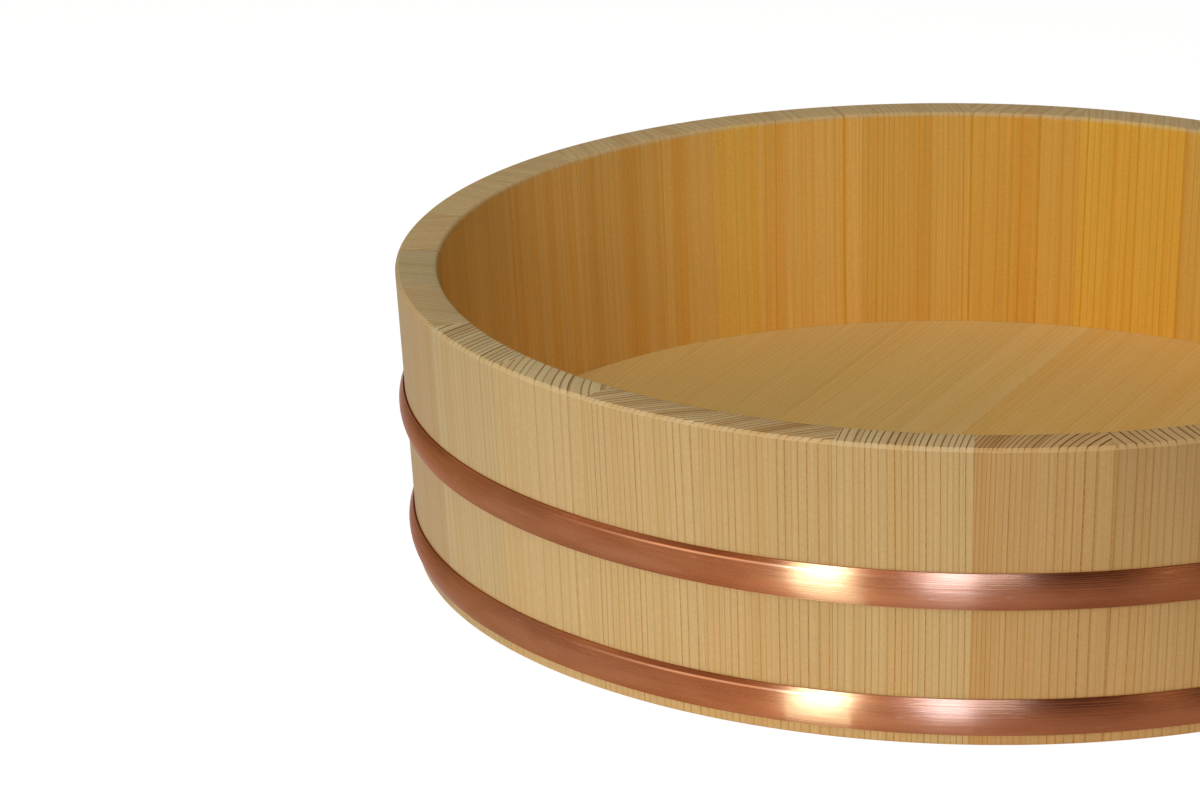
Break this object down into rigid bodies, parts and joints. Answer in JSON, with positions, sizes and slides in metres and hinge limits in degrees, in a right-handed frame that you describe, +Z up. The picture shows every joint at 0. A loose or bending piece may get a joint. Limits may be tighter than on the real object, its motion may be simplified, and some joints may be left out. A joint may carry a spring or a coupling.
{
  "type": "sushi rice tub",
  "caption": "Round wooden tub of upright staves bound by domed copper hoops, with a plank floor set in a groove above the foot; for mixing and cooling sushi rice.",
  "frame": {"origin": "on the ground, at the tub's axis", "axes": "+Z up along the tub's axis, -Y towards the viewer in the picture, +X to the viewer's right"},
  "size_m": [0.36, 0.36, 0.092],
  "materials": {
    "stave_wood": "bare planed softwood, straight vertical grain, end grain on the rim",
    "floor_wood": "bare planed softwood boards",
    "dowel_bamboo": "split bamboo, hidden in the joints",
    "hoop_copper": "copper, polished lengthwise with fine drawn lines"
  },
  "bodies": {
    "root": {"stave_01": "stave_wood", "stave_02": "stave_wood", "stave_03": "stave_wood", "stave_04": "stave_wood", "stave_05": "stave_wood", "stave_06": "stave_wood", "stave_07": "stave_wood", "stave_08": "stave_wood", "stave_09": "stave_wood", "stave_10": "stave_wood", "stave_11": "stave_wood", "stave_12": "stave_wood", "stave_13": "stave_wood", "stave_14": "stave_wood", "stave_15": "stave_wood", "stave_16": "stave_wood", "stave_17": "stave_wood", "stave_18": "stave_wood", "stave_19": "stave_wood", "stave_20": "stave_wood", "stave_21": "stave_wood", "stave_22": "stave_wood", "stave_23": "stave_wood", "stave_24": "stave_wood", "stave_25": "stave_wood", "stave_26": "stave_wood", "stave_27": "stave_wood", "stave_28": "stave_wood", "upper_hoop": "hoop_copper", "lower_hoop": "hoop_copper", "floor_board_1": "floor_wood", "floor_board_2": "floor_wood", "floor_board_3": "floor_wood", "floor_board_4": "floor_wood", "floor_board_5": "floor_wood", "floor_dowel_01": "dowel_bamboo", "floor_dowel_02": "dowel_bamboo", "floor_dowel_03": "dowel_bamboo", "floor_dowel_04": "dowel_bamboo", "floor_dowel_05": "dowel_bamboo", "floor_dowel_06": "dowel_bamboo", "floor_dowel_07": "dowel_bamboo", "floor_dowel_08": "dowel_bamboo", "floor_dowel_09": "dowel_bamboo", "floor_dowel_10": "dowel_bamboo"}
  },
  "joints": []
}
